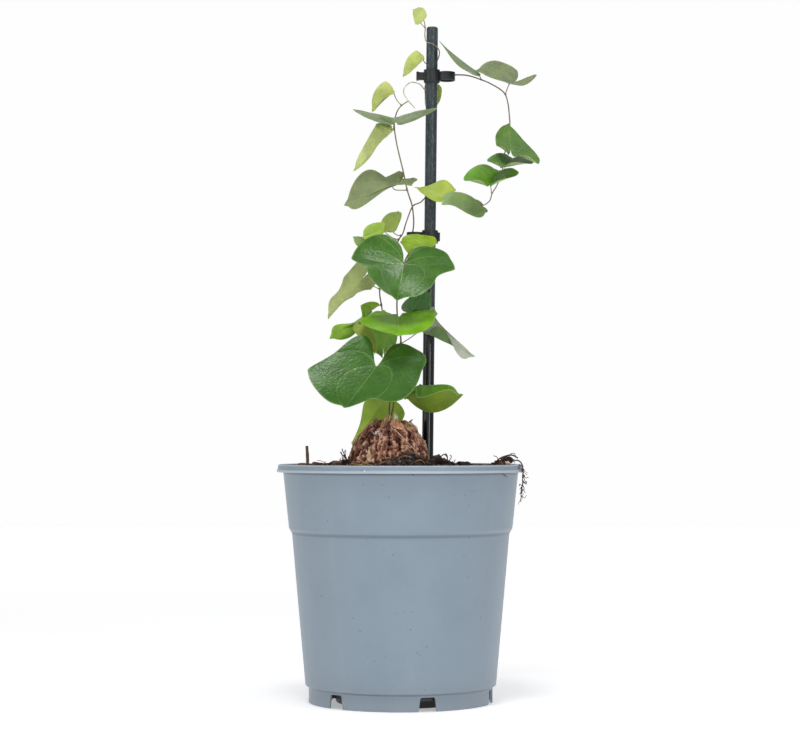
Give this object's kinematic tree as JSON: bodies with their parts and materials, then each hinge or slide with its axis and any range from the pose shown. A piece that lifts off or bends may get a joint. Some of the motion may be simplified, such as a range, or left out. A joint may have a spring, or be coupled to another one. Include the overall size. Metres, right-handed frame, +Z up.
{
  "type": "potted climbing caudex yam plant",
  "caption": "Twining vine with heart-shaped leaves growing from a corky dome-shaped caudex in a plastic nursery pot, led up a thin coated stake by stem clips",
  "frame": {"origin": "middle of the pot's flat centre plate, on the surface that the pot stands on", "axes": "+Z up along the pot's axis, +X to the right and +Y away from the viewer of the plant's best side"},
  "size_m": [0.1791, 0.17, 0.4792],
  "materials": {
    "pot_plastic": "blue-grey polypropylene, satin, dusty, with fine dark specks and a few pale scuffs",
    "soil": "dark moist peat with fibres and chips of bark",
    "caudex_cork": "brown cork in cracked plates with tan ridges",
    "stake_coating": "black coating, glossy low down and dull teal-grey with age above",
    "clip_plastic": "moulded black plastic",
    "stem": "thin wiry stem, grey-brown with a purple tinge",
    "young_stem": "pale tender shoot",
    "leaf_mature": "glossy dark green above, pale grey-green below, with arching veins",
    "leaf_green": "satin mid green above, olive below, with arching veins",
    "leaf_young": "satin yellow-green, thin and new",
    "litter": "dry brown root and twig"
  },
  "bodies": {
    "root": {"pot": "pot_plastic", "soil": "soil", "caudex": "caudex_cork", "stake": "stake_coating", "clip_upper": "clip_plastic", "clip_lower": "clip_plastic", "stem_main": "stem", "stem_second": "stem", "stem_hanging": "stem", "stem_tendril": "young_stem", "leaf_01": "leaf_mature", "leaf_02": "leaf_mature", "leaf_03": "leaf_green", "leaf_04": "leaf_green", "leaf_05": "leaf_mature", "leaf_06": "leaf_green", "leaf_07": "leaf_green", "leaf_08": "leaf_green", "leaf_09": "leaf_mature", "leaf_10": "leaf_mature", "leaf_11": "leaf_young", "leaf_12": "leaf_young", "leaf_13": "leaf_young", "leaf_14": "leaf_green", "leaf_15": "leaf_mature", "leaf_16": "leaf_green", "leaf_17": "leaf_mature", "leaf_18": "leaf_young", "leaf_19": "leaf_young", "leaf_20": "leaf_young", "leaf_21": "leaf_young", "leaf_22": "leaf_mature", "leaf_23": "leaf_mature", "leaf_24": "leaf_green", "leaf_25": "leaf_green", "leaf_26": "leaf_green", "leaf_27": "leaf_green", "leaf_28": "leaf_green", "leaf_29": "leaf_young", "dry_stick": "litter", "root_strand": "litter"}
  },
  "joints": []
}
